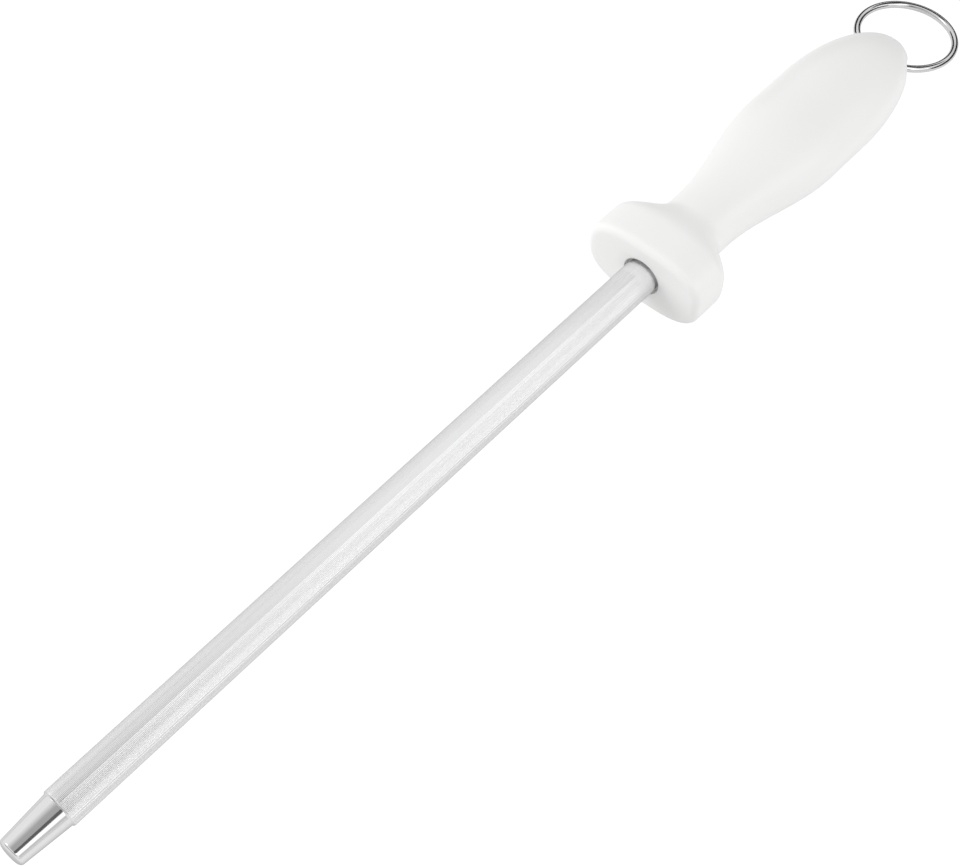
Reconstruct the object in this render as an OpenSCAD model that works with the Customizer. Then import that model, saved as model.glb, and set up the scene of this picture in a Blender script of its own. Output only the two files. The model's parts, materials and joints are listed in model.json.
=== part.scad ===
// Knife sharpening steel: a fluted rod with a polished tip, moulded into a handle
// with a crossguard, and a wire hanging ring in a hole through the butt.
// Frame: the origin is on the rod's axis at the guard's front face. +X runs to the
// tip, Y lies across the guard's two lobes, and +Z is up when the steel lies flat.

/* [Rod] */
// Length of the rod that shows, from the guard's face to the tip
rod_len = 254; // [150:1:360]
// Diameter over the flutes
rod_d = 12; // [10:0.5:13]
// Length of the polished tip
tip_len = 17; // [10:0.5:30]
// Height of the step down from the flutes to the polished tip
tip_step = 0.5; // [0.2:0.1:1]
// Taper of the polished tip, as the diameter lost along it
tip_taper = 2.2; // [0.5:0.1:4]
// Length of the rounded cap at the tip's end
tip_cap = 1.8; // [0.5:0.1:3]

/* [Tang] */
// Length of the plain shank that starts at the guard's face
shank_len = 15; // [8:1:24]
// Diameter of the plain shank
shank_d = 11.6; // [9:0.1:12]
// Length of the tang from the guard's face to its end
tang_len = 96; // [70:1:104]
// Diameter of the tang
tang_d = 8.4; // [6:0.2:9]
// Depth of the grooves that lock the tang into the core
groove_depth = 0.9; // [0.3:0.1:1.2]
// Number of locking grooves
groove_count = 4; // [1:1:6]
// Distance across the two flats that stop the tang turning
tang_flats = 6.6; // [5.6:0.1:8]

/* [Guard] */
// Width of the guard over both lobes
guard_w = 44; // [36:0.5:54]
// Thickness of the guard
guard_t = 27; // [24:0.5:30]
// Length of the guard at full width
guard_len = 12; // [8:0.5:14]
// Radius of the guard's front edge
guard_round = 2.5; // [1:0.5:4]
// Gap round the rod where it enters the guard
recess_gap = 0.8; // [0.3:0.1:1.5]
// Depth of that recess
recess_depth = 2.5; // [1:0.5:5]

/* [Grip] */
// Length of the handle from the guard's face to the butt
handle_len = 137.5; // [132:0.5:160]
// Width of the neck behind the guard
neck_w = 23; // [21:0.5:26]
// Thickness of the neck
neck_t = 20; // [19:0.5:24]
// Width of the grip at its widest
grip_w = 37.5; // [32:0.5:44]
// Thickness of the grip at its widest
grip_t = 28; // [24:0.5:34]
// Wall of the outer skin over the core
skin_wall = 3; // [2.5:0.25:3.5]

/* [Ring] */
// Diameter of the ring to the middle of its wire
ring_d = 34; // [30:0.5:40]
// Diameter of the ring's wire
wire_d = 2.5; // [1.6:0.1:2.6]
// Gap between the ring's two cut ends, parked inside the hole
ring_gap = 0.4; // [0.2:0.1:1]
// Diameter of the hole through the butt
hole_d = 6.4; // [6:0.2:7]
// Diameter of the hole's flared mouths, where the ring swings out of them
mouth_d = 10.4; // [8:0.2:11]
// Distance of the hole from the butt's end
hole_inset = 8; // [7.5:0.5:10]
// Angle that the ring droops below the handle's axis at rest
ring_droop = 5.5; // [0:0.5:20]

/* [Hidden] */

turn_fn = 96;   // segments of a full turn on round pieces
oval_fn = 40;   // points round an oval section of the handle
eps = 1;        // overshoot of a cut past the surface it opens

// Places along the handle, as distances behind the guard's face
neck_front = 26;
neck_back = 30;
palm_front = 78;
palm_back = 96;
core_front = 10;
core_back = 112;
hole_at = handle_len - hole_inset;

// The tip's first and last diameters, and where it starts
tip_root_d = rod_d - 2 * tip_step;
tip_end_d = tip_root_d - tip_taper;
tip_at = rod_len - tip_len;

// The grooves along the tang start behind the shank
groove_len = 5;
groove_pitch = 14;
groove_at = shank_len + 14;

// Squareness of the oval: 2 is an ellipse, and higher is boxier
guard_square = 2.8;
grip_square = 2.2;

// The ring bows inside the hole, and is placed so that this bow is centred on the
// hole's axis. bore_half is half the length over which the handle surrounds the wire.
bore_half = 10;
flare_from = 6;
flare_to = 14;
ring_r = ring_d / 2;
ring_bow = ring_r - sqrt(ring_r ^ 2 - bore_half ^ 2);
ring_behind = ring_r - ring_bow / 2;

// ---- Shape helpers ----

// A smooth rise from 0 to 1 as t goes from 0 to 1
function ease(t) = (1 - cos(180 * min(1, max(0, t)))) / 2;
function mix(a, b, t) = a + (b - a) * t;

// Half size of the handle at distance d, from its half sizes at the guard, neck and palm
function half_at(d, guard, neck, palm) =
    d < guard_round ? guard - guard_round + sqrt(guard_round ^ 2 - (guard_round - max(0, d)) ^ 2)
    : d < neck_front ? mix(guard, neck, ease((d - guard_len) / (neck_front - guard_len)))
    : d < palm_back ? mix(neck, palm, ease((d - neck_back) / (palm_front - neck_back)))
    : palm * sqrt(max(0, 1 - ((d - palm_back) / (handle_len - palm_back)) ^ 2));

// Squareness of the section at distance d
function square_at(d) =
    mix(guard_square, grip_square, ease((d - guard_len) / (neck_front - guard_len)));

// One oval section of the handle at distance d, inset by a wall
function oval(d, inset = 0) =
    let (
        a = half_at(d, guard_w / 2, neck_w / 2, grip_w / 2) - inset,
        b = half_at(d, guard_t / 2, neck_t / 2, grip_t / 2) - inset,
        power = 2 / square_at(d)
    )
    [for (i = [0:oval_fn - 1])
        let (turn = 360 * i / oval_fn, c = cos(turn), s = sin(turn))
        [-d, a * sign(c) * abs(c) ^ power, b * sign(s) * abs(s) ^ power]];

// Even steps from one distance to the next, without the last
function steps(from, to, count) = [for (i = [0:count - 1]) mix(from, to, i / count)];

// A closed skin over a row of equal-count sections
module loft(sections) {
    count = len(sections[0]);
    last = len(sections) - 1;
    points = [for (section = sections) for (p = section) p];
    sides = [for (row = [0:last - 1]) for (i = [0:count - 1])
        [row * count + i, row * count + (i + 1) % count,
         (row + 1) * count + (i + 1) % count, (row + 1) * count + i]];
    front = [for (i = [0:count - 1]) count - 1 - i];
    back = [for (i = [0:count - 1]) last * count + i];
    polyhedron(points, concat([front], sides, [back]));
}

// A round solid about the rod's axis, from its half outline of [distance, radius] points
module turned(outline)
    rotate([0, 90, 0])
        rotate_extrude($fn = turn_fn)
            polygon([for (p = outline) [p[1], p[0]]]);

// ---- Rod ----

// The working length and the polished tip: a chamfered step, a slight taper and a
// rounded cap, whose edge is a superellipse
rod_outline = concat(
    [[-shank_len, 0], [-shank_len, shank_d / 2], [0, shank_d / 2], [0, rod_d / 2],
     [tip_at, rod_d / 2], [tip_at + tip_step, tip_root_d / 2]],
    [for (turn = [0:10:90])
        [rod_len - tip_cap + tip_cap * sin(turn) ^ (2 / 3), tip_end_d / 2 * cos(turn) ^ (2 / 3)]]
);

module tang() {
    intersection() {
        difference() {
            translate([-tang_len, 0, 0]) rotate([0, 90, 0])
                cylinder(h = tang_len, d = tang_d, $fn = turn_fn);
            for (i = [0:groove_count - 1])
                groove(groove_at + i * groove_pitch);
        }
        translate([-tang_len, -tang_d, -tang_flats / 2])
            cube([tang_len, 2 * tang_d, tang_flats]);
    }
}

// A ring-shaped cut round the tang, starting d behind the guard's face
module groove(d)
    translate([-d - groove_len, 0, 0]) rotate([0, 90, 0])
        difference() {
            cylinder(h = groove_len, d = tang_d + eps, $fn = turn_fn);
            translate([0, 0, -eps])
                cylinder(h = groove_len + 2 * eps, d = tang_d - 2 * groove_depth, $fn = turn_fn);
        }

module steel_rod()
    color("gainsboro") {
        turned(rod_outline);
        tang();
    }

// ---- Handle ----

// Sections of the handle's outside, closer together where it curves most
outer_stations = concat(
    [-eps],
    [for (turn = [0:22.5:67.5]) guard_round * (1 - cos(turn))],
    steps(guard_round, guard_len, 2),
    steps(guard_len, neck_front, 7),
    steps(neck_front, neck_back, 1),
    steps(neck_back, palm_front, 8),
    steps(palm_front, palm_back, 2),
    [for (turn = [0:11:88]) palm_back + (handle_len - palm_back) * sin(turn)]
);

// Sections of the core, which follows the outside at the skin's thickness
core_stations = concat(
    steps(core_front, neck_front, 7),
    steps(neck_front, neck_back, 1),
    steps(neck_back, palm_front, 8),
    steps(palm_front, core_back, 5),
    [core_back]
);

module core_body() loft([for (d = core_stations) oval(d, skin_wall)]);

module handle_core()
    color("silver")
        difference() {
            core_body();
            steel_rod();
        }

// The hole for the ring, with a flared mouth on each side
module ring_hole()
    translate([-hole_at, 0, 0]) {
        rotate([90, 0, 0])
            cylinder(h = grip_w, d = hole_d, center = true, $fn = turn_fn);
        for (side = [-90, 90])
            rotate([side, 0, 0])
                translate([0, 0, flare_from])
                    cylinder(h = flare_to - flare_from, d1 = hole_d, d2 = mouth_d, $fn = turn_fn);
    }

module handle_skin()
    color("white")
        difference() {
            loft([for (d = outer_stations) oval(d)]);
            // the guard's flat front face
            translate([0, -guard_w, -guard_w]) cube(2 * guard_w);
            core_body();
            translate([-shank_len, 0, 0]) rotate([0, 90, 0])
                cylinder(h = shank_len + eps, d = shank_d, $fn = turn_fn);
            translate([-recess_depth, 0, 0]) rotate([0, 90, 0])
                cylinder(h = recess_depth + eps, d = rod_d + 2 * recess_gap, $fn = turn_fn);
            ring_hole();
        }

// ---- Ring ----

module hanging_ring()
    color("silver")
        translate([-hole_at, 0, 0]) rotate([0, -ring_droop, 0]) translate([-ring_behind, 0, 0])
            difference() {
                rotate_extrude($fn = turn_fn)
                    translate([ring_r, 0]) circle(d = wire_d, $fn = turn_fn / 2);
                // the gap between the cut ends
                translate([ring_r, 0, 0]) cube([2 * wire_d, ring_gap, 2 * wire_d], center = true);
            }

steel_rod();
handle_core();
handle_skin();
hanging_ring();
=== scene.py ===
"""The looks of a knife sharpening steel: a fluted rod with a polished tip, a moulded
handle with a crossguard, and a wire hanging ring, on a pale studio floor.

Shapes are worked out in millimetres in the part's own frame: the origin is on the rod's
axis at the guard's front face, and +X runs to the tip. d is a distance behind that face.
"""

import json
import math

import bmesh
import bpy
import numpy as np
from mathutils import Matrix, Quaternion, Vector


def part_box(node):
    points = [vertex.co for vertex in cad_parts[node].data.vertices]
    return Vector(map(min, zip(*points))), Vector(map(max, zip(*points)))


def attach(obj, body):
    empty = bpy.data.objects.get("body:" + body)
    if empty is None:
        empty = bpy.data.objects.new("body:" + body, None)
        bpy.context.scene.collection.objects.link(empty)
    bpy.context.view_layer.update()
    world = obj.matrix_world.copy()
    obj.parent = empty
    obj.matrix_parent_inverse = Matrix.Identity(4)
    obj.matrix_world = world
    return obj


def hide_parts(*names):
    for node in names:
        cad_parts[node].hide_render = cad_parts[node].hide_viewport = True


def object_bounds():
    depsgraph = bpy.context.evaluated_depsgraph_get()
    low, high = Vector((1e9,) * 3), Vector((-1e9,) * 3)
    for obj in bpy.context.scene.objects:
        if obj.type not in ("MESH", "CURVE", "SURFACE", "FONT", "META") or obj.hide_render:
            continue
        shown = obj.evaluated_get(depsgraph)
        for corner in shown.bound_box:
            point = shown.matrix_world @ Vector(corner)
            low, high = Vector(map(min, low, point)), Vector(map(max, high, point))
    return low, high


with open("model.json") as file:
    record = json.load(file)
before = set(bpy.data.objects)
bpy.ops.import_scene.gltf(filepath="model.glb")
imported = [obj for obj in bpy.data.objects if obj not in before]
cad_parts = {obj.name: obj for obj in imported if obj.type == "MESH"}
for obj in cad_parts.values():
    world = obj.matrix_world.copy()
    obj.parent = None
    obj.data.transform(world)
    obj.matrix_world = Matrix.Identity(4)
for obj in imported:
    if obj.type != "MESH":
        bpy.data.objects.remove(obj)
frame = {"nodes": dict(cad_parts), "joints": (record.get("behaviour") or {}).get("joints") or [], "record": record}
cad_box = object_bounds()

# ---- Sizes, in millimetres ----

MM = 0.001
SEED = 7

# How far round a rounded end its last section is, in degrees, before it closes to a point
LAST_TURN = 89

mounts = {mount["name"]: mount for mount in frame["record"]["mounts"]}
rod_low, rod_high = (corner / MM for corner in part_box("steel_rod"))
skin_low, skin_high = (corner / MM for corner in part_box("handle_skin"))
core_low, core_high = (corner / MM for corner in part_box("handle_core"))
ring_low, ring_high = (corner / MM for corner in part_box("hanging_ring"))

# Rod: its length, and its radius over the flutes
ROD_LEN = rod_high.x
ROD_R = mounts["rod"]["dims"]["r_mm"]

# Tip: where it starts, the step down to it, how much its radius tapers, and its rounded
# end, whose power makes it squarer than an ellipse
TIP_AT = mounts["rod"]["dims"]["length_mm"]
TIP_STEP = 0.5
TIP_TAPER = 1.1
TIP_CAP = 1.8
CAP_POWER = 2 / 3
TAPER_SECTIONS, CAP_SECTIONS = 10, 22

# Flutes: how many, points across each, and their depth with its share of unevenness
FLUTES = 96
FLUTE_POINTS = 8
FLUTE_DEPTH = 0.06
FLUTE_UNEVEN = 0.35
FLUTE_POWER = 1.4
FLUTED_SECTIONS = 48

# Tang: a plain shank, then a thinner grooved bar with two flats
SHANK_LEN = 15
SHANK_R = 5.8
TANG_END = -rod_low.x
TANG_R = 4.2
TANG_FLAT = 3.3
TANG_CHAMFER = 0.4
GROOVE_PITCH = 14
GROOVE_COUNT = 4
GROOVES = [SHANK_LEN + GROOVE_PITCH * (i + 1) for i in range(GROOVE_COUNT)]
GROOVE_LEN = 5
GROOVE_DEPTH = 0.95

# Handle: half sizes at the guard, neck and palm, and the places between them; squareness
# of its section; the walls, the parting line, and the recess round the rod
HANDLE_LEN = -skin_low.x
HALF_WIDTHS = (skin_high.y, 11.5, 18.75)
HALF_THICKNESSES = (13.5, 10, skin_high.z)
GUARD_ROUND = 2.5
GUARD_LEN = 12
NECK_FRONT, NECK_BACK = 26, 30
PALM_FRONT, PALM_BACK = 78, 96
GUARD_SQUARE, GRIP_SQUARE = 2.8, 2.2
SKIN_WALL = 3
PARTING_RIDGE = 0.06
CORE_FRONT, CORE_BACK = -core_high.x, -core_low.x
RECESS_R = ROD_R + 0.8
RECESS_DEPTH = 2.5
RECESS_LIP = 0.25
AROUND = 192
DOME_SECTIONS = 64

# Ring's hole: a straight bore, a flare to each mouth, and a rounded edge, all set in a
# window of the outside that reaches this far to its front and back and round the section
HOLE_AT = -frame["joints"][0]["pos_m"][0] / MM
HOLE_R = 3.2
FLARE_FROM = 6
FLARE_SLOPE = 4
MOUTH_ROUND = 0.5
MOUTH_TRIES = 30
WINDOW_FRONT, WINDOW_BACK = 8.2, 6.9
WINDOW_TURN = math.radians(62)

# Ring: read from the CAD ring's box, apart from the wire
WIRE_R = 1.25
RING_R = ring_high.y - WIRE_R
RING_GAP = 0.4
RING_END_BEVEL = 0.15
RING_SECTIONS = 241
WIRE_POINTS = 32


# ---- Mesh building ----


class Skin:
    """The points and faces of one mesh, put together loop by loop."""

    def __init__(self):
        self.points = []
        self.faces = []
        self.slots = []

    def loop(self, points):
        """Adds a row of points and returns their numbers."""
        start = len(self.points)
        self.points.extend(np.asarray(points, float).reshape(-1, 3).tolist())
        return np.arange(start, len(self.points))

    def bridge(self, a, b, slot=0, skip=None):
        """Joins two closed rows of equal count with quads, apart from the columns in skip."""
        a_next, b_next = np.roll(a, -1), np.roll(b, -1)
        for i in range(len(a)):
            if skip is None or not skip[i]:
                self.faces.append((a[i], a_next[i], b_next[i], b[i]))
                self.slots.append(slot)

    def cap(self, row, point, slot=0):
        """Closes a row with triangles to one point."""
        pole = self.loop([point])[0]
        for a, b in zip(row, np.roll(row, -1)):
            self.faces.append((a, b, pole))
            self.slots.append(slot)

    def sweep(self, rows, slots=None):
        """Adds rows of points joined one to the next, and returns the rows' numbers."""
        loops = [self.loop(row) for row in rows]
        for i, (a, b) in enumerate(zip(loops, loops[1:])):
            self.bridge(a, b, slots[i] if slots else 0)
        return loops

    def make(self, name, materials, sharp_deg=35):
        """The finished object: outward faces, smooth but for its sharp edges."""
        mesh = bpy.data.meshes.new(name)
        faces = [tuple(int(i) for i in face) for face in self.faces]
        mesh.from_pydata((np.array(self.points) * MM).tolist(), [], faces)
        mesh.polygons.foreach_set("material_index", self.slots)
        mesh.validate()
        work = bmesh.new()
        work.from_mesh(mesh)
        bmesh.ops.recalc_face_normals(work, faces=work.faces)
        work.to_mesh(mesh)
        work.free()
        for material in materials:
            mesh.materials.append(material)
        mesh.polygons.foreach_set("use_smooth", [True] * len(mesh.polygons))
        mesh.set_sharp_from_angle(angle=math.radians(sharp_deg))
        obj = bpy.data.objects.new(name, mesh)
        bpy.context.scene.collection.objects.link(obj)
        return obj


def mix(a, b, t):
    """The value a share t of the way from a to b."""
    return a + (b - a) * t


def ease(t):
    """A smooth rise from 0 to 1 as t goes from 0 to 1."""
    return (1 - np.cos(np.pi * np.clip(t, 0, 1))) / 2


def spread(start, stop, count):
    """count even steps from start, up to but not including stop."""
    return np.linspace(start, stop, count + 1)[:-1]


# ---- Rod ----


def flute_profile(rng):
    """Depth of the fluted surface below its crests, round one section of the rod."""
    across = np.arange(FLUTE_POINTS) / FLUTE_POINTS
    valley = np.sin(np.pi * across) ** FLUTE_POWER
    depths = 1 + FLUTE_UNEVEN * rng.uniform(-1, 1, FLUTES)
    return FLUTE_DEPTH * (depths[:, None] * valley[None, :]).ravel()


def rod_stations():
    """(x, radius, share of flute depth, material slot) along the rod, from tang to tip."""
    fluted, polished, bare = 0, 1, 2
    rows = [(-TANG_END, TANG_R - TANG_CHAMFER, 0, bare)]
    rows += [(-TANG_END + TANG_CHAMFER, TANG_R, 0, bare)]
    for at in reversed(GROOVES):
        low = TANG_R - GROOVE_DEPTH
        rows += [(-at - GROOVE_LEN, TANG_R, 0, bare), (-at - GROOVE_LEN, low, 0, bare)]
        rows += [(-at, low, 0, bare), (-at, TANG_R, 0, bare)]
    rows += [(-SHANK_LEN, TANG_R, 0, bare), (-SHANK_LEN, SHANK_R, 0, bare)]
    # The flutes rise out of the shank just outside the guard
    rows += [(-RECESS_DEPTH, SHANK_R, 0, fluted), (-0.2, SHANK_R, 0, fluted)]
    rows += [(0.1, ROD_R - 0.05, 0.6, fluted), (0.4, ROD_R, 1, fluted)]
    rows += [(x, ROD_R, 1, fluted) for x in np.linspace(4, TIP_AT - 3, FLUTED_SECTIONS)]
    # The step down to the tip, with its edges just broken
    root = ROD_R - TIP_STEP
    step_end = TIP_AT + TIP_STEP
    rows += [(TIP_AT - 0.15, ROD_R, 1, fluted), (TIP_AT, ROD_R - 0.06, 0.6, polished)]
    rows += [(TIP_AT + TIP_STEP * 0.85, root + 0.06, 0, polished)]
    rows += [(step_end, root, 0, polished), (step_end + 0.1, root, 0, polished)]
    end = root - TIP_TAPER
    cap_at = ROD_LEN - TIP_CAP
    for t in np.linspace(0.05, 0.98, TAPER_SECTIONS):
        rows.append((mix(step_end, cap_at, t), mix(root, end, t), 0, polished))
    for turn in np.radians(np.linspace(0, LAST_TURN, CAP_SECTIONS)):
        x = cap_at + TIP_CAP * math.sin(turn) ** CAP_POWER
        rows.append((x, end * math.cos(turn) ** CAP_POWER, 0, polished))
    return rows


def build_rod(materials):
    """The whole steel: tang, shank, fluted length and tip, as one closed bar."""
    rng = np.random.default_rng(SEED)
    count = FLUTES * FLUTE_POINTS
    turns = 2 * np.pi * np.arange(count) / count
    valley = flute_profile(rng)
    skin = Skin()
    rows, slots = [], []
    for x, radius, share, slot in rod_stations():
        reach = radius - share * valley
        y, z = reach * np.cos(turns), reach * np.sin(turns)
        in_tang = x < -SHANK_LEN or (x == -SHANK_LEN and radius == TANG_R)
        if in_tang:
            z = np.clip(z, -TANG_FLAT, TANG_FLAT)
        rows.append(np.column_stack([np.full(count, x), y, z]))
        slots.append(slot)
    loops = skin.sweep(rows, slots)
    skin.cap(loops[0], (-TANG_END, 0, 0), slots[0])
    skin.cap(loops[-1], (ROD_LEN, 0, 0), slots[-1])
    return skin.make("rod", materials, sharp_deg=50)


# ---- Handle ----


def half_at(d, sizes):
    """Half size of the handle at distances d, from its half sizes at guard, neck and palm."""
    guard, neck, palm = sizes
    d = np.asarray(d, float)
    lip = GUARD_ROUND - np.clip(d, 0, GUARD_ROUND)
    front = guard - GUARD_ROUND + np.sqrt(GUARD_ROUND**2 - lip**2)
    waist = mix(guard, neck, ease((d - GUARD_LEN) / (NECK_FRONT - GUARD_LEN)))
    grip = mix(neck, palm, ease((d - NECK_BACK) / (PALM_FRONT - NECK_BACK)))
    far = np.clip((d - PALM_BACK) / (HANDLE_LEN - PALM_BACK), 0, 1)
    butt = palm * np.sqrt(1 - far**2)
    return np.select([d < GUARD_ROUND, d < NECK_FRONT, d < PALM_BACK], [front, waist, grip], butt)


def square_at(d):
    """Squareness of the section at d: 2 is an ellipse, and higher is boxier."""
    return mix(GUARD_SQUARE, GRIP_SQUARE, ease((d - GUARD_LEN) / (NECK_FRONT - GUARD_LEN)))


def oval(d, inset=0.0):
    """One section of the handle at distance d, inset by a wall."""
    turns = 2 * np.pi * np.arange(AROUND) / AROUND
    c, s = np.cos(turns), np.sin(turns)
    power = square_at(d)
    reach = (np.abs(c) ** power + np.abs(s) ** power) ** (-1 / power)
    y = (half_at(d, HALF_WIDTHS) - inset) * reach * c
    z = (half_at(d, HALF_THICKNESSES) - inset) * reach * s
    return np.column_stack([np.full(AROUND, -float(d)), y, z])


def outer_section(d):
    """The outside at distance d, with the mould's parting line as a faint ridge each side."""
    section = oval(d)
    rise = PARTING_RIDGE * ease(d / GUARD_ROUND) * ease((HANDLE_LEN - d) / SKIN_WALL)
    section[0, 1] += rise
    section[AROUND // 2, 1] -= rise
    return section


def side_at(d, z):
    """Half width of the handle's surface at distance d and height z."""
    a, b = half_at(d, HALF_WIDTHS), half_at(d, HALF_THICKNESSES)
    power = square_at(d)
    return a * np.clip(1 - (np.abs(z) / b) ** power, 0, 1) ** (1 / power)


def circle(d, radius):
    """A circle about the rod's axis, with as many points as a section of the handle."""
    turns = 2 * np.pi * np.arange(AROUND) / AROUND
    y, z = radius * np.cos(turns), radius * np.sin(turns)
    return np.column_stack([np.full(AROUND, -float(d)), y, z])


def outer_stations():
    """Distances of the handle's outer sections, closer together where it curves most."""
    quarter = np.radians(spread(0, 90, 8))
    dome = np.radians(np.linspace(0, LAST_TURN, DOME_SECTIONS))
    return np.concatenate([
        GUARD_ROUND * (1 - np.cos(quarter)),
        spread(GUARD_ROUND, GUARD_LEN, 6),
        spread(GUARD_LEN, NECK_FRONT, 24),
        spread(NECK_FRONT, NECK_BACK, 3),
        spread(NECK_BACK, PALM_FRONT, 40),
        spread(PALM_FRONT, PALM_BACK, 14),
        PALM_BACK + (HANDLE_LEN - PALM_BACK) * np.sin(dome),
    ])


def window_border(first, last, half):
    """(row, column) pairs round the patch of skin that the hole's mouth replaces."""
    columns = list(range(-half, half + 1))
    front = [(first, column) for column in columns]
    side = [(row, half) for row in range(first + 1, last)]
    back = [(last, column) for column in reversed(columns)]
    other = [(row, -half) for row in range(last - 1, first, -1)]
    return front + side + back + other


def mouth_loops(border):
    """Rows on the +Y side from the skin's border into the hole, and the row at its middle."""
    across, height = border[:, 0] + HOLE_AT, border[:, 2]
    turn = np.arctan2(height, across)
    reach = np.hypot(across, height)
    c, s = np.cos(turn), np.sin(turn)

    def on_skin(r):
        return side_at(HOLE_AT - r * c, r * s)

    # Where the flare meets the skin, found by trying again from a first guess
    mouth = np.full(len(turn), HOLE_R + 1.0)
    for _ in range(MOUTH_TRIES):
        mouth = HOLE_R + (on_skin(mouth) - FLARE_FROM) / FLARE_SLOPE
    outer = mouth + MOUTH_ROUND
    down = MOUTH_ROUND / math.hypot(1, FLARE_SLOPE)
    lower = mouth - down
    rows = []
    # Along the skin to the mouth, closer together near it
    for t in (0.8, 0.6, 0.42, 0.27, 0.15, 0.06, 0):
        r = mix(outer, reach, t)
        rows.append((r, on_skin(r)))
    # Round the mouth's edge
    deep = on_skin(mouth) - down * FLARE_SLOPE
    for t in (0.2, 0.4, 0.6, 0.8, 1):
        keep, bend, arrive = (1 - t) ** 2, 2 * t * (1 - t), t * t
        r = keep * outer + bend * mouth + arrive * lower
        rows.append((r, keep * on_skin(outer) + bend * on_skin(mouth) + arrive * deep))
    # Down the flare, then into the bore
    for t in (0.35, 0.7, 1):
        rows.append((mix(lower, HOLE_R, t), mix(deep, FLARE_FROM, t)))
    rows.append((np.full_like(turn, HOLE_R), np.full_like(turn, FLARE_FROM / 2)))
    middle = np.column_stack([HOLE_R * c - HOLE_AT, 0 * c, HOLE_R * s])
    return [np.column_stack([r * c - HOLE_AT, y, r * s]) for r, y in rows], middle


def add_hole(skin, loops, stations, half):
    """Fills the two windows left in the outside with the ring's hole.

    Returns the first and last section that the windows reach.
    """
    first = int(np.searchsorted(stations, HOLE_AT - WINDOW_FRONT))
    last = int(np.searchsorted(stations, HOLE_AT + WINDOW_BACK)) - 1
    border = window_border(first, last, half)
    near = np.array([loops[row][column % AROUND] for row, column in border])
    far = np.array([loops[row][(AROUND // 2 - column) % AROUND] for row, column in border])
    rows, middle = mouth_loops(np.array([skin.points[i] for i in near]))
    inner = skin.loop(middle)
    for edge, side in ((near, 1), (far, -1)):
        previous = edge
        for row in rows:
            current = skin.loop(row * np.array([1, side, 1]))
            skin.bridge(previous, current)
            previous = current
        skin.bridge(previous, inner)
    return first, last


def build_handle(material):
    """One closed shell: outside, front face, recess, bore, and the space for the core."""
    skin = Skin()
    stations = outer_stations()
    loops = [skin.loop(outer_section(d)) for d in stations]
    half = round(WINDOW_TURN / (2 * math.pi) * AROUND)
    first, last = add_hole(skin, loops, stations, half)
    # The columns of both windows, which are round the section's first and middle points
    column = (np.arange(AROUND) + half) % (AROUND // 2)
    in_window = column < 2 * half
    for i, (a, b) in enumerate(zip(loops, loops[1:])):
        skin.bridge(a, b, skip=in_window if first <= i < last else None)
    skin.cap(loops[-1], (-HANDLE_LEN, 0, 0))

    lip = RECESS_LIP
    lip_turns = np.radians((30, 60, 90))
    face_rim = circle(0, RECESS_R + lip)
    rows = [mix(oval(0), face_rim, t) for t in (0.25, 0.5, 0.75, 1)]
    for turn in lip_turns:
        rows.append(circle(lip * (1 - math.cos(turn)), RECESS_R + lip * (1 - math.sin(turn))))
    rows += [circle(RECESS_DEPTH - lip, RECESS_R)]
    for turn in lip_turns:
        depth = RECESS_DEPTH - lip * (1 - math.sin(turn))
        rows.append(circle(depth, RECESS_R - lip * (1 - math.cos(turn))))
    rows += [circle(RECESS_DEPTH, SHANK_R), circle(CORE_FRONT, SHANK_R)]
    # The space for the core, whose sections start again a little way into the palm
    inner = np.concatenate([
        np.linspace(CORE_FRONT, NECK_FRONT, 17),
        np.linspace(NECK_BACK, PALM_FRONT, 25),
        np.linspace(PALM_FRONT + 6, CORE_BACK, 7),
    ])
    rows += [oval(d, SKIN_WALL) for d in inner]
    inside = skin.sweep(rows)
    skin.bridge(loops[0], inside[0])
    skin.cap(inside[-1], (-CORE_BACK, 0, 0))
    return skin.make("handle", [material])


# ---- Ring ----


def build_ring(material):
    """A wire bent to a ring, whose cut ends meet inside the handle's hole."""
    droop = math.asin(((ring_high.z - ring_low.z) / 2 - WIRE_R) / RING_R)
    centre = Vector((
        ring_low.x + RING_R * math.cos(droop) + WIRE_R, 0, (ring_high.z + ring_low.z) / 2
    ))
    tilt = Matrix.Rotation(-droop, 3, "Y")
    half_gap = RING_GAP / 2 / RING_R
    edge = RING_END_BEVEL / RING_R
    even = np.linspace(half_gap, 2 * np.pi - half_gap, RING_SECTIONS)
    starts, ends = [even[0], even[0] + edge], [even[-1] - edge, even[-1]]
    bends = np.concatenate([starts, even[1:-1], ends])
    radii = np.full(len(bends), WIRE_R)
    radii[[0, -1]] = WIRE_R - RING_END_BEVEL
    turns = 2 * np.pi * np.arange(WIRE_POINTS) / WIRE_POINTS
    skin = Skin()
    rows = []
    for bend, radius in zip(bends, radii):
        out = RING_R + radius * np.cos(turns)
        rows.append(np.column_stack([
            out * math.cos(bend), out * math.sin(bend), radius * np.sin(turns)
        ]))
    place = np.array(tilt)
    rows = [row @ place.T + np.array(centre) for row in rows]
    loops = skin.sweep(rows)
    for loop, bend in ((loops[0], bends[0]), (loops[-1], bends[-1])):
        end = np.array([RING_R * math.cos(bend), RING_R * math.sin(bend), 0])
        skin.cap(loop, place @ end + np.array(centre))
    return skin.make("ring", [material], sharp_deg=40)


# ---- Materials ----


# The Mix node's sockets share names, so its colour ones are picked by number
MIX_FACTOR, MIX_A, MIX_B, MIX_RESULT = 0, 6, 7, 2


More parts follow.
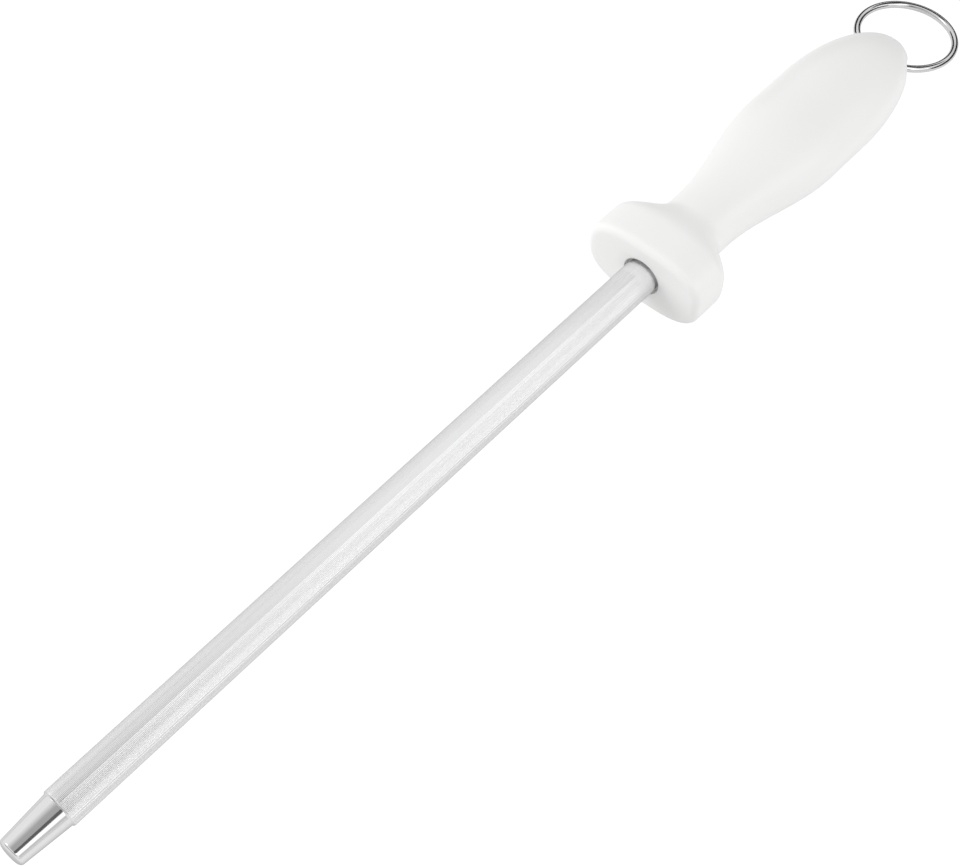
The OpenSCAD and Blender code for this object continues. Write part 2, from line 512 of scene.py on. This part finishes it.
class Graph:
    """A material's or the world's node tree, made node by node."""

    def __init__(self, owner):
        owner.use_nodes = True
        self.tree = owner.node_tree
        self.tree.nodes.clear()

    def add(self, kind, inputs=None, **settings):
        """A new node; each input is a value, or a socket to link from."""
        node = self.tree.nodes.new("ShaderNode" + kind)
        for name, value in settings.items():
            setattr(node, name, value)
        for name, value in (inputs or {}).items():
            if isinstance(value, bpy.types.NodeSocket):
                self.tree.links.new(value, node.inputs[name])
            else:
                node.inputs[name].default_value = value
        return node

    def math(self, operation, *values):
        """The result of an operation on values or sockets."""
        node = self.add("Math", dict(enumerate(values)), operation=operation)
        return node.outputs[0]

    def noise(self, vector, scale, detail=3.0, roughness=0.55):
        """Noise of about 0.3 to 0.7, whose grain is 1 / scale metres."""
        node = self.add("TexNoise", {
            "Vector": vector, "Scale": scale, "Detail": detail, "Roughness": roughness
        })
        return node.outputs["Fac"]

    def span(self, value, low, high, from_low=0.3, from_high=0.7):
        """value's useful range, mapped to low..high."""
        node = self.add("MapRange", {
            "Value": value, "From Min": from_low, "From Max": from_high,
            "To Min": low, "To Max": high,
        })
        return node.outputs["Result"]

    def band(self, value, rise_from, rise_to, fall_from, fall_to):
        """1 between rise_to and fall_from, and 0 outside rise_from to fall_to."""
        rise = self.span(value, 0, 1, rise_from, rise_to)
        return self.math("MULTIPLY", rise, self.span(value, 1, 0, fall_from, fall_to))

    def ramp(self, value, stops):
        """Brightness that follows value through (value, brightness) stops, low to high."""
        low, high = stops[0][0], stops[-1][0]
        node = self.add("ValToRGB", {"Fac": self.span(value, 0, 1, low, high)})
        elements = node.color_ramp.elements
        while len(elements) < len(stops):
            elements.new(0.5)
        for element, (at, glow) in zip(elements, stops):
            element.position = (at - low) / (high - low)
            element.color = grey(glow)
        return node.outputs["Color"]

    def blend(self, factor, a, b):
        """A colour between a and b."""
        node = self.add("Mix", data_type="RGBA")
        self.tree.links.new(factor, node.inputs[MIX_FACTOR])
        node.inputs[MIX_A].default_value = (*a, 1)
        node.inputs[MIX_B].default_value = (*b, 1)
        return node.outputs[MIX_RESULT]

    def bump(self, height, depth_mm, strength=1.0, normal=None):
        """A surface raised by height, on top of another bump's normal if one is given."""
        inputs = {"Height": height, "Distance": depth_mm * MM, "Strength": strength}
        if normal is not None:
            inputs["Normal"] = normal
        return self.add("Bump", inputs).outputs["Normal"]


def grey(level):
    """An opaque grey."""
    return (level, level, level, 1)


def object_point(graph):
    """The point on the piece, in metres, as the textures' vector."""
    return graph.add("TexCoord").outputs["Object"]


def along_rod(graph, along_scale, around_scale):
    """A vector that changes slowly along the rod and quickly round it."""
    parts = graph.add("SeparateXYZ", {"Vector": object_point(graph)})
    flat = graph.add("CombineXYZ", {"Y": parts.outputs["Y"], "Z": parts.outputs["Z"]})
    unit = graph.add("VectorMath", {0: flat.outputs[0]}, operation="NORMALIZE")
    round_part = graph.add("SeparateXYZ", {"Vector": unit.outputs[0]})
    scaled = graph.add("CombineXYZ", {
        "X": graph.math("MULTIPLY", parts.outputs["X"], along_scale),
        "Y": graph.math("MULTIPLY", round_part.outputs["Y"], around_scale),
        "Z": graph.math("MULTIPLY", round_part.outputs["Z"], around_scale),
    })
    return scaled.outputs[0]


def finish_material(graph, name, inputs):
    """The named material, with one Principled shader of these inputs."""
    shader = graph.add("BsdfPrincipled", inputs)
    graph.add("OutputMaterial", {"Surface": shader.outputs[0]})
    return bpy.data.materials[name]


def new_graph(name):
    """The empty node tree of a new material."""
    return Graph(bpy.data.materials.new(name))


def white_plastic():
    """Moulded white polypropylene: waxy, satin, with a fine even grain."""
    graph = new_graph("white_plastic")
    point = object_point(graph)
    grain = graph.noise(point, scale=3200, detail=2)
    cloud = graph.noise(point, scale=60, detail=2)
    flow = graph.noise(point, scale=420, detail=4)
    soft = graph.bump(cloud, depth_mm=0.12, strength=0.5)
    fine = graph.bump(grain, depth_mm=0.012, strength=0.8, normal=soft)
    rough = graph.math("ADD", graph.span(flow, -0.03, 0.03), graph.span(cloud, 0.40, 0.46))
    return finish_material(graph, "white_plastic", {
        "Base Color": graph.blend(cloud, (0.862, 0.862, 0.858), (0.878, 0.878, 0.876)),
        "Roughness": rough,
        "IOR": 1.49,
        "Subsurface Weight": 0.15,
        "Subsurface Radius": (1.0, 0.95, 0.9),
        "Subsurface Scale": 1.5 * MM,
        "Normal": fine,
    })


def fluted_steel():
    """Hard chrome over the flutes, with drawn lines and faintly uneven brightness."""
    graph = new_graph("fluted_steel")
    drawn = graph.noise(
        along_rod(graph, along_scale=18, around_scale=60), scale=1.6, detail=5, roughness=0.75
    )
    patch = graph.noise(object_point(graph), scale=55)
    rough = graph.math("ADD", graph.span(drawn, -0.04, 0.05), graph.span(patch, 0.24, 0.28))
    return finish_material(graph, "fluted_steel", {
        "Base Color": graph.blend(drawn, (0.87, 0.87, 0.872), (0.97, 0.97, 0.972)),
        "Metallic": 1.0,
        "Roughness": rough,
        "Specular Tint": grey(0.5),
        "Normal": graph.bump(drawn, depth_mm=0.01, strength=0.6),
    })


def polished_steel():
    """The tip: bright, with the faint rings that turning and buffing leave."""
    graph = new_graph("polished_steel")
    turned = graph.noise(
        along_rod(graph, along_scale=5200, around_scale=0.8), scale=1.0, roughness=0.6
    )
    smear = graph.noise(object_point(graph), scale=300)
    return finish_material(graph, "polished_steel", {
        "Base Color": graph.blend(smear, (0.84, 0.84, 0.845), (0.89, 0.89, 0.89)),
        "Metallic": 1.0,
        "Roughness": graph.span(smear, 0.05, 0.11),
        "Specular Tint": grey(0.7),
        "Normal": graph.bump(turned, depth_mm=0.0006, strength=0.5),
    })


def bare_steel():
    """The tang: dull rolled steel, hidden in the handle."""
    graph = new_graph("bare_steel")
    scale = graph.noise(object_point(graph), scale=500, detail=6, roughness=0.7)
    return finish_material(graph, "bare_steel", {
        "Base Color": graph.blend(scale, (0.18, 0.17, 0.165), (0.36, 0.35, 0.34)),
        "Metallic": 1.0,
        "Roughness": graph.span(scale, 0.4, 0.65),
        "Normal": graph.bump(scale, depth_mm=0.03, strength=0.6),
    })


def ring_wire():
    """Bright nickelled spring wire."""
    graph = new_graph("ring_wire")
    point = object_point(graph)
    handling = graph.noise(point, scale=900, detail=4, roughness=0.6)
    plating = graph.noise(point, scale=150, detail=2)
    return finish_material(graph, "ring_wire", {
        "Base Color": graph.blend(plating, (0.80, 0.80, 0.805), (0.88, 0.88, 0.885)),
        "Metallic": 1.0,
        "Roughness": graph.span(handling, 0.07, 0.16),
        "Specular Tint": grey(0.4),
        "Normal": graph.bump(handling, depth_mm=0.004, strength=0.5),
    })


def core_plastic():
    """The core: grey glass-filled plastic with flow marks, hidden under the skin."""
    graph = new_graph("core_plastic")
    point = object_point(graph)
    flow = graph.noise(point, scale=180, detail=5, roughness=0.6)
    fibre = graph.noise(point, scale=2600, detail=2)
    return finish_material(graph, "core_plastic", {
        "Base Color": graph.blend(flow, (0.52, 0.53, 0.54), (0.66, 0.67, 0.68)),
        "Roughness": graph.span(fibre, 0.45, 0.65),
        "Normal": graph.bump(fibre, depth_mm=0.02, strength=0.6),
    })


# ---- Studio ----

WHITE = (1, 1, 1, 1)

# Brightness, where 1 is white: of the surroundings on surfaces, and of the sky in metal
AMBIENT = 0.75
GLOSSY_SKY = 0.88

# A patch of metal's sky that is brighter by HALO, faded in and out along X and Z
HALO = 1.4
HALO_X = (0.18, 0.26, 0.50, 0.60)
HALO_Z = (0.48, 0.55, 0.81, 0.88)

# Metal's sky is darker by END_SHADE, low down and off both ends of the rod
END_SHADE = 0.5
END_SHADE_X = (0.55, 0.62)
END_SHADE_Z = (0.08, 0.20, 0.40, 0.55)

# The camera: where it is from the point it looks at, in degrees and metres, and that
# point's place as a share of the part's length and a distance aside
CAMERA_AZIMUTH, CAMERA_ELEVATION, CAMERA_ROLL = 132.04, 56.40, 0.15
CAMERA_DISTANCE = 0.53105
CAMERA_LENS = 67.61
SENSOR_WIDTH = 36
AIM_ALONG = 0.5768
AIM_ASIDE = 2.34 * MM

# The floor, in metres: its width, and how far it is below the ring hanging straight down.
# Its own glow: to the camera, and as light on surfaces
FLOOR_SPAN = 6.0
FLOOR_CLEARANCE = 3 * MM
FLOOR_GLOW = 0.82
FLOOR_BOUNCE = 0.54

# About what the lamps add to the floor's brightness, and how bright metal sees the floor, as (distance from the
# rod's axis, brightness): painted shade, darker close to the rod's axis in place of the part's own shade on the
# floor, and darker again far out
CARD_SHARE = 0.2
FLOOR_IN_METAL = ((0, 0.66), (0.054, 0.84), (0.12, 0.84), (0.30, 0.64))

# Panels that metal mirrors: distance from the rod's axis, ends along X in metres, and
# (angle round the rod in degrees, glow), where 90 is overhead and 0 is +Y
FLAG_REACH, SOFTBOX_REACH = 0.485, 1.0
GREY_FLAG_ALONG = (-0.05, 0.16, 0.6)
GREY_FLAG = ((60, 0.40), (90, 0.42), (108, 0.66), (128, GLOSSY_SKY))
CAMERA_FLAG_ALONG = (0.14, 0.175, 0.6)
CAMERA_FLAG = ((41, 0.12), (60, 0.12))
SOFTBOX_ALONG = (-1.2, 0.4)
SOFTBOX = ((20, 1.6), (36, 1.6))
SIDE_GAP = ((1, 0.60), (14, 0.60))

# Dark flags for the ring to mirror: one over it, and one curved round behind it
RING_FLAG_GLOW = 0.03
RING_FLAG_REACH = 0.25
RING_FLAG_ALONG = (-0.40, -0.16)
RING_FLAG_ANGLES = (60, 90, 120)
BEHIND_REACH = 0.13
BEHIND_HEIGHTS = (-0.012, 0.065)

# Lamps, aimed at the guard: azimuth, elevation and watts
LAMP_DISTANCE = 1.6
LAMP_SIZE = 1.3
KEY_LIGHT = (37, 26, 11.8)
FILL_LIGHT = (198, 18, 7.0)


def direction(azimuth, elevation):
    """The unit vector from the part towards a viewer at these angles, in degrees."""
    a, e = math.radians(azimuth), math.radians(elevation)
    return Vector((math.sin(a) * math.cos(e), -math.cos(a) * math.cos(e), math.sin(e)))


def studio_world():
    """White to the camera, even soft light on surfaces, and a banded sky for mirrors."""
    world = bpy.data.worlds.new("studio")
    bpy.context.scene.world = world
    graph = Graph(world)
    path = graph.add("LightPath")
    towards = graph.add("SeparateXYZ", {"Vector": graph.add("TexCoord").outputs["Generated"]})
    x, z = towards.outputs["X"], towards.outputs["Z"]
    halo = graph.math("MULTIPLY", graph.band(x, *HALO_X), HALO)
    halo = graph.math("MULTIPLY", graph.band(z, *HALO_Z), halo)
    ends = graph.span(graph.math("ABSOLUTE", x), 0, END_SHADE, *END_SHADE_X)
    shade = graph.math("MULTIPLY", graph.band(z, *END_SHADE_Z), ends)
    mirrored = graph.math("ADD", graph.math("SUBTRACT", halo, shade), GLOSSY_SKY - AMBIENT)
    glossy = graph.math("MULTIPLY", path.outputs["Is Glossy Ray"], mirrored)
    camera = graph.math("MULTIPLY", path.outputs["Is Camera Ray"], 1.0 - AMBIENT)
    strength = graph.math("ADD", graph.math("ADD", glossy, camera), AMBIENT)
    sky = graph.add("Background", {"Color": WHITE, "Strength": strength})
    graph.add("OutputWorld", {"Surface": sky.outputs[0]})


def floor_material():
    """Pale card: nearly white to the camera, with painted shade where metal mirrors it close by."""
    graph = new_graph("floor_card")
    point = object_point(graph)
    fibre = graph.noise(point, scale=40, detail=4)
    path = graph.add("LightPath")
    aside = graph.math("ABSOLUTE", graph.add("SeparateXYZ", {"Vector": point}).outputs["Y"])
    # Painted shade: metal sees the floor darker close to the rod's axis, in place of the part's own shade
    mirrored = graph.ramp(aside, FLOOR_IN_METAL)
    change = graph.math("SUBTRACT", mirrored, FLOOR_GLOW + CARD_SHARE)
    in_metal = graph.math("MULTIPLY", path.outputs["Is Glossy Ray"], change)
    bounce = graph.math("MULTIPLY", path.outputs["Is Diffuse Ray"], FLOOR_BOUNCE - FLOOR_GLOW)
    glow = graph.math("ADD", graph.math("ADD", in_metal, bounce), FLOOR_GLOW)
    tint = graph.blend(fibre, (0.235, 0.235, 0.235), (0.245, 0.245, 0.245))
    card = graph.add("BsdfDiffuse", {"Color": tint})
    light = graph.add("Emission", {"Color": WHITE, "Strength": glow})
    both = graph.add("AddShader", {0: card.outputs[0], 1: light.outputs[0]})
    graph.add("OutputMaterial", {"Surface": both.outputs[0]})
    return bpy.data.materials["floor_card"]


def build_floor():
    """A wide flat floor, far enough below the part for the ring to hang down in its swing."""
    half = FLOOR_SPAN / 2
    height = (ring_low.x + HOLE_AT) * MM - FLOOR_CLEARANCE
    corners = [(x * half, y * half, height) for x, y in ((-1, -1), (1, -1), (1, 1), (-1, 1))]
    mesh = bpy.data.meshes.new("floor")
    mesh.from_pydata(corners, [], [(0, 1, 2, 3)])
    mesh.materials.append(floor_material())
    floor = bpy.data.objects.new("floor", mesh)
    bpy.context.scene.collection.objects.link(floor)


def panel(name, rows, glows):
    """A lamp or flag that only metal sees, through rows of points with a glow at each."""
    count = len(rows[0])
    faces = []
    for row in range(len(rows) - 1):
        for i in range(row * count, row * count + count - 1):
            faces.append((i, i + 1, count + i + 1, count + i))
    mesh = bpy.data.meshes.new(name)
    mesh.from_pydata([tuple(point) for row in rows for point in row], [], faces)
    mesh.attributes.new("glow", "FLOAT", "POINT").data.foreach_set("value", np.ravel(glows))
    graph = new_graph(name)
    glow = graph.add("Attribute", attribute_name="glow").outputs["Fac"]
    light = graph.add("Emission", {"Color": WHITE, "Strength": glow})
    graph.add("OutputMaterial", {"Surface": light.outputs[0]})
    mesh.materials.append(bpy.data.materials[name])
    obj = bpy.data.objects.new(name, mesh)
    bpy.context.scene.collection.objects.link(obj)
    for kind in ("camera", "diffuse", "transmission", "volume_scatter", "shadow"):
        setattr(obj, "visible_" + kind, False)


def strip(name, reach, along, stops, fade=None):
    """A panel along the rod, through (angle round the rod, glow) stops.

    If fade is given, its glow starts at fade at the first of its ends.
    """
    bends = [math.radians(angle) for angle, glow in stops]
    rows = [[(x, reach * math.cos(a), reach * math.sin(a)) for a in bends] for x in along]
    glows = [[glow for angle, glow in stops] for x in along]
    if fade is not None:
        glows[0] = [fade] * len(stops)
    panel(name, rows, glows)


def build_panels():
    """What the polished steel mirrors."""
    strip("grey_flag", FLAG_REACH, GREY_FLAG_ALONG, GREY_FLAG, fade=GLOSSY_SKY)
    strip("camera_flag", FLAG_REACH, CAMERA_FLAG_ALONG, CAMERA_FLAG, fade=GLOSSY_SKY)
    strip("right_softbox", SOFTBOX_REACH, SOFTBOX_ALONG, SOFTBOX)
    strip("side_gap", SOFTBOX_REACH, SOFTBOX_ALONG, SIDE_GAP)
    above = [(angle, RING_FLAG_GLOW) for angle in RING_FLAG_ANGLES]
    strip("ring_flag_above", RING_FLAG_REACH, RING_FLAG_ALONG, above)
    behind = np.radians(np.linspace(90, 270, 13))
    middle = (ring_low + ring_high) * MM / 2
    x, y = middle.x + BEHIND_REACH * np.cos(behind), BEHIND_REACH * np.sin(behind)
    rows = [list(zip(x, y, [z] * len(behind))) for z in BEHIND_HEIGHTS]
    panel("ring_flag_behind", rows, [[RING_FLAG_GLOW] * len(behind)] * 2)


def area_light(name, azimuth, elevation, power):
    """A round lamp aimed at the guard, which lights surfaces and isn't seen in metal."""
    data = bpy.data.lights.new(name, "AREA")
    data.shape = "DISK"
    data.size = LAMP_SIZE
    data.energy = power
    obj = bpy.data.objects.new(name, data)
    towards = direction(azimuth, elevation)
    obj.location = towards * LAMP_DISTANCE
    obj.rotation_mode = "QUATERNION"
    obj.rotation_quaternion = towards.to_track_quat("Z", "Y")
    obj.visible_glossy = False
    bpy.context.scene.collection.objects.link(obj)


def build_lights():
    """A key lamp on the tip's -Y side, and a fill lamp on the +Y side."""
    area_light("key_light", *KEY_LIGHT)
    area_light("fill_light", *FILL_LIGHT)


def build_camera():
    """The camera, above the part and off its tip's +Y side, so the handle is farthest."""
    low, high = cad_box
    aim = Vector((mix(low.x, high.x, AIM_ALONG), AIM_ASIDE, 0))
    back = direction(CAMERA_AZIMUTH, CAMERA_ELEVATION)
    data = bpy.data.cameras.new("camera")
    data.lens = CAMERA_LENS
    data.sensor_width = SENSOR_WIDTH
    data.clip_start, data.clip_end = 0.01, 20
    camera = bpy.data.objects.new("camera", data)
    camera.location = aim + back * CAMERA_DISTANCE
    roll = Quaternion((0, 0, 1), math.radians(CAMERA_ROLL))
    camera.rotation_mode = "QUATERNION"
    camera.rotation_quaternion = (-back).to_track_quat("-Z", "Y") @ roll
    bpy.context.scene.collection.objects.link(camera)
    bpy.context.scene.camera = camera


# ---- The object ----

rod = build_rod([fluted_steel(), polished_steel(), bare_steel()])
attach(rod, "steel")
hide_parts("steel_rod")

handle = build_handle(white_plastic())
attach(handle, "steel")
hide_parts("handle_skin")

ring = build_ring(ring_wire())
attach(ring, "ring")
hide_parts("hanging_ring")

core = frame["nodes"]["handle_core"]
core.data.materials.clear()
core.data.materials.append(core_plastic())

# ---- The stage ----

studio_world()
build_floor()
build_panels()
build_lights()
build_camera()
bpy.context.scene.view_settings.view_transform = "Standard"
